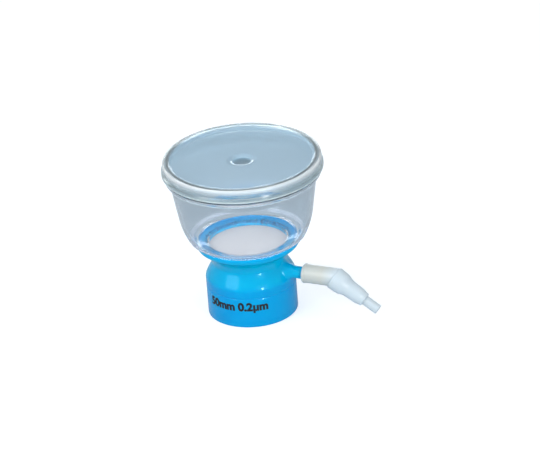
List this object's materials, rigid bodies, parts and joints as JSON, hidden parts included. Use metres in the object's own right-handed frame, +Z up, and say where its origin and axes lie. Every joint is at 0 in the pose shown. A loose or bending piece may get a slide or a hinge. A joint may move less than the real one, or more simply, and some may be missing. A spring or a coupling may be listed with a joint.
{
  "type": "vacuum filtration unit",
  "caption": "Bottle-top vacuum filter: clear lidded bowl over a white membrane disc, blue threaded neck adaptor with a side port, and a bent stepped hose connector.",
  "frame": {"origin": "middle of the mouth of the neck socket, on the underside of the base", "axes": "+Z up along the axis of the bowl and the neck socket; +X along the vacuum port"},
  "size_m": [0.132, 0.0966, 0.101],
  "materials": {
    "blue_adaptor": "gloss translucent",
    "gasket": "satin",
    "white_plate": "satin",
    "membrane": "matte",
    "clear_bowl": "clear gloss",
    "clear_lid": "clear gloss",
    "connector": "translucent satin",
    "cotton": "fluffy"
  },
  "bodies": {
    "base_unit": {"base": "blue_adaptor", "neck_gasket": "gasket", "support_plate": "white_plate", "membrane": "membrane", "funnel": "clear_bowl"},
    "lid": {"lid": "clear_lid"},
    "connector": {"hose_connector": "connector", "cotton_plug": "cotton"}
  },
  "joints": [
    {"name": "lid_lift", "type": "slide", "parent": "base_unit", "child": "lid", "axis": [0, 0, 1], "range_m": [0, 0.03]},
    {"name": "connector_turn", "type": "hinge", "parent": "base_unit", "child": "connector", "pos_m": [0.04, 0, 0.028], "axis": [1, 0, 0], "continuous": true}
  ]
}
